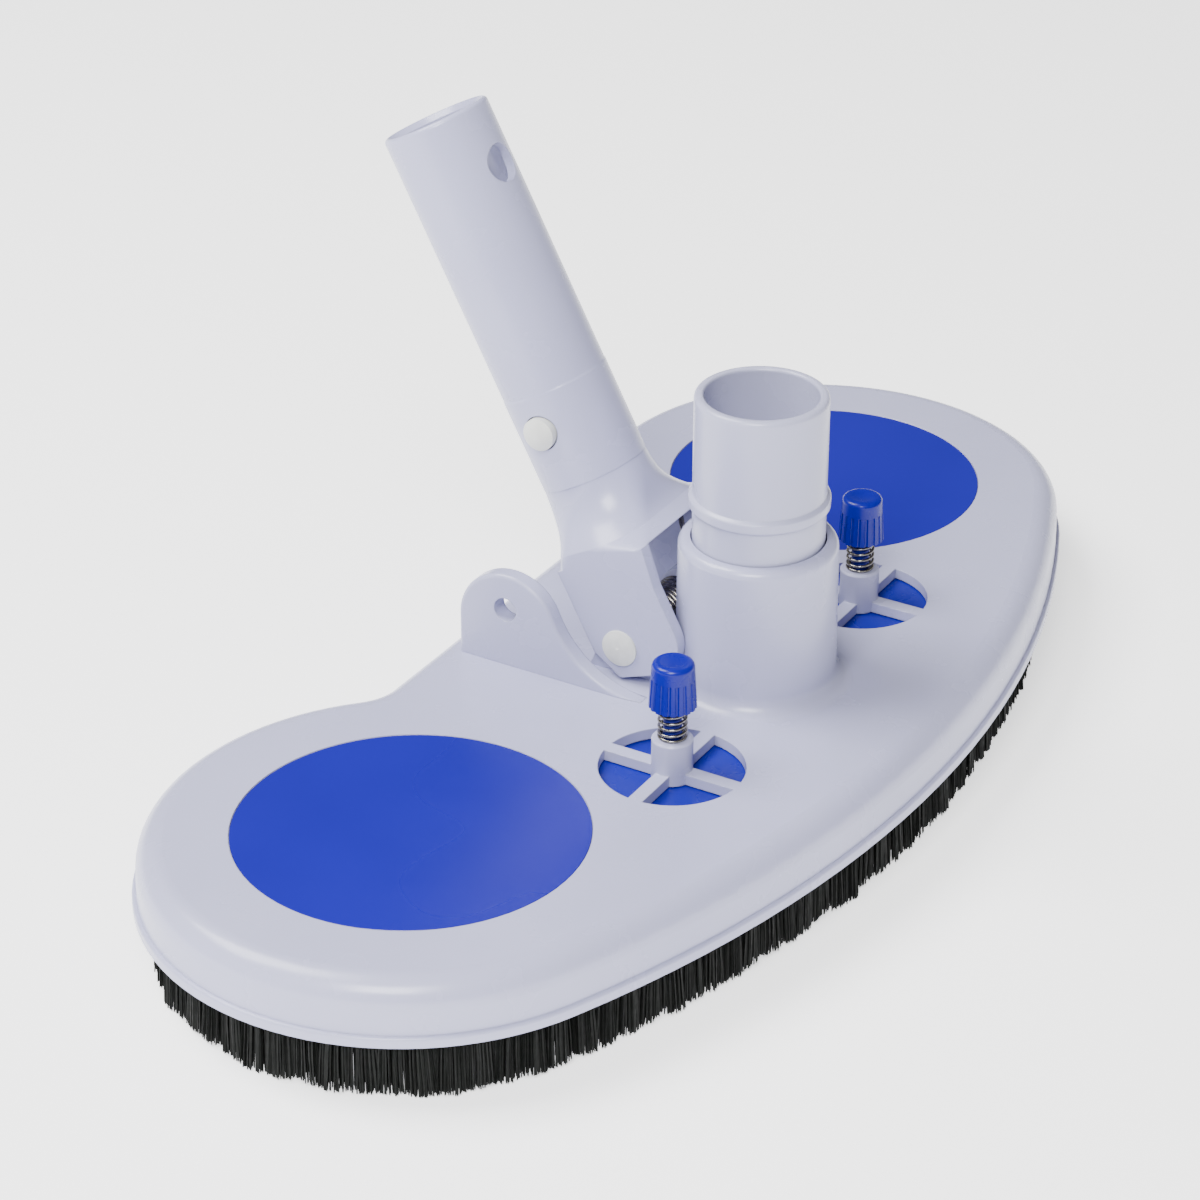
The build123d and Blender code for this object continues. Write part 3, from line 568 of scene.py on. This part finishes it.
def torsion_spring():
    """The close-wound coil round the pivot pin, with a leg on the deck and a leg in the handle."""
    half = TORSION_PITCH * TORSION_TURNS / 2
    axis = Vector((1, 0, 0))
    begin = -pi / 2 - DECK_LEG_DIP
    turned = 2 * pi * TORSION_TURNS
    count = round(TORSION_STEPS * TORSION_TURNS)
    winding = []
    for index in range(count + 1):
        share = index / count
        angle = begin - turned * share
        ring = TORSION_COIL_R * Vector((0, cos(angle), sin(angle)))
        winding.append(PIVOT + ring + axis * half * (2 * share - 1))
    away = Vector((0, cos(DECK_LEG_DIP), -sin(DECK_LEG_DIP)))
    last = begin - turned
    up = Vector((0, sin(last), -cos(last)))
    deck_leg = [winding[0] + away * DECK_LEG, winding[0] + away * DECK_LEG * DECK_LEG_LEAVES]
    handle_leg = [winding[-1] + up * HANDLE_LEG * HANDLE_LEG_LEAVES, winding[-1] + up * HANDLE_LEG]
    path = deck_leg + winding + handle_leg
    made = mesh_object("torsion_coil", *wire_mesh(path, TORSION_WIRE), SPRING)
    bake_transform(made)
    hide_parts("torsion_spring")


def clip_arm(side_name, side):
    """Half of the bent leaf inside the tube, from its apex down to a button."""
    button_low, button_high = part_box("button_" + side_name)
    button_t = ((button_low + button_high) / 2 - PIVOT).dot(ALONG)
    inner = min(abs(button_low.x), abs(button_high.x)) - CLIP_LEAF / 2 - CLIP_GAP
    line = []
    for step in range(CLIP_STEPS + 1):
        share = step / CLIP_STEPS
        if share < CLIP_STRAIGHT:
            line.append((inner, button_t - CLIP_TAIL + 2 * CLIP_TAIL * share / CLIP_STRAIGHT))
            continue
        rise = (share - CLIP_STRAIGHT) / (1 - CLIP_STRAIGHT)
        offset = 0.0 if step == CLIP_STEPS else inner * cos(rise * pi / 2) ** CLIP_FULLNESS
        line.append((offset, button_t + CLIP_TAIL + (CLIP_APEX - CLIP_TAIL) * rise))
    vertices, faces = [], []
    for index, (x, t) in enumerate(line):
        before = line[max(index - 1, 0)]
        after = line[min(index + 1, len(line) - 1)]
        dx, dt = after[0] - before[0], after[1] - before[1]
        length = sqrt(dx * dx + dt * dt)
        nx, nt = dt / length, -dx / length
        for off, width in ((-1, -1), (1, -1), (1, 1), (-1, 1)):
            px = side * (x + off * nx * CLIP_LEAF / 2)
            pt = t + off * nt * CLIP_LEAF / 2
            vertices.append(PIVOT + Vector((px, 0, 0)) + pt * ALONG + width * CLIP_WIDTH / 2 * ACROSS)
    for ring in range(len(line) - 1):
        for corner in range(4):
            after = (corner + 1) % 4
            low, high = ring * 4, ring * 4 + 4
            faces.append((low + corner, low + after, high + after, high + corner))
    faces.append((3, 2, 1, 0))
    last = 4 * (len(line) - 1)
    faces.append((last, last + 1, last + 2, last + 3))
    made = mesh_object("clip_arm_" + side_name, vertices, faces, NYLON, smooth=False)
    bevel = made.modifiers.new("edges", "BEVEL")
    bevel.width = CLIP_EDGE
    bevel.segments = 2
    bevel.limit_method = "ANGLE"
    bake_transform(made)
    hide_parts("clip_spring")


# ---------------------------------------------------------------- stage
def floor():
    """A large pale floor just under the bristle tips."""
    z = CAD_LOW.z - FLOOR_GAP
    corners = [(x * FLOOR_REACH, y * FLOOR_REACH, z) for x, y in ((-1, -1), (1, -1), (1, 1), (-1, 1))]
    made = mesh_object("floor", corners, [(0, 1, 2, 3)], plain_floor("floor_pale"), smooth=False)


def soft_light(name, place, size, power):
    """A square area light that points at the middle of the object."""
    data = bpy.data.lights.new(name, "AREA")
    data.shape = "SQUARE"
    data.size = size
    data.energy = power
    lamp = bpy.data.objects.new(name, data)
    bpy.context.scene.collection.objects.link(lamp)
    lamp.location = place
    lamp.rotation_euler = (LAMP_AIM - Vector(place)).to_track_quat("-Z", "Y").to_euler()


def studio():
    """Soft studio light: an even surround, a large lamp from the left and one from above and behind."""
    world = bpy.data.worlds.new("studio")
    world.use_nodes = True
    background = world.node_tree.nodes["Background"]
    background.inputs["Color"].default_value = (1.0, 1.0, 1.0, 1.0)
    background.inputs["Strength"].default_value = WORLD_STRENGTH
    bpy.context.scene.world = world
    soft_light("key", (-0.95, -0.30, 1.05), size=0.55, power=25)
    soft_light("top", (-0.30, 0.75, 1.35), size=0.8, power=38)


def camera():
    """The camera, turned about the object and rolled very slightly."""
    back = Vector((
        sin(VIEW_AZIMUTH) * cos(VIEW_ELEVATION),
        -cos(VIEW_AZIMUTH) * cos(VIEW_ELEVATION),
        sin(VIEW_ELEVATION),
    ))
    right = Vector((0, 0, 1)).cross(back).normalized()
    up = back.cross(right)
    turned_right = cos(VIEW_ROLL) * right + sin(VIEW_ROLL) * up
    turned_up = cos(VIEW_ROLL) * up - sin(VIEW_ROLL) * right
    data = bpy.data.cameras.new("camera")
    data.sensor_width = SENSOR_WIDTH
    data.lens = LENS
    data.clip_end = CLIP_END
    made = bpy.data.objects.new("camera", data)
    bpy.context.scene.collection.objects.link(made)
    turn = Matrix((turned_right, turned_up, back)).transposed().to_4x4()
    made.matrix_world = Matrix.Translation(VIEW_TARGET + VIEW_DISTANCE * back) @ turn
    bpy.context.scene.camera = made


camera()
studio()
floor()
dress_frame()
bristles()
torsion_spring()
for side_name, side in (("left", -1), ("right", 1)):
    valve_spring(side_name)
    clip_arm(side_name, side)
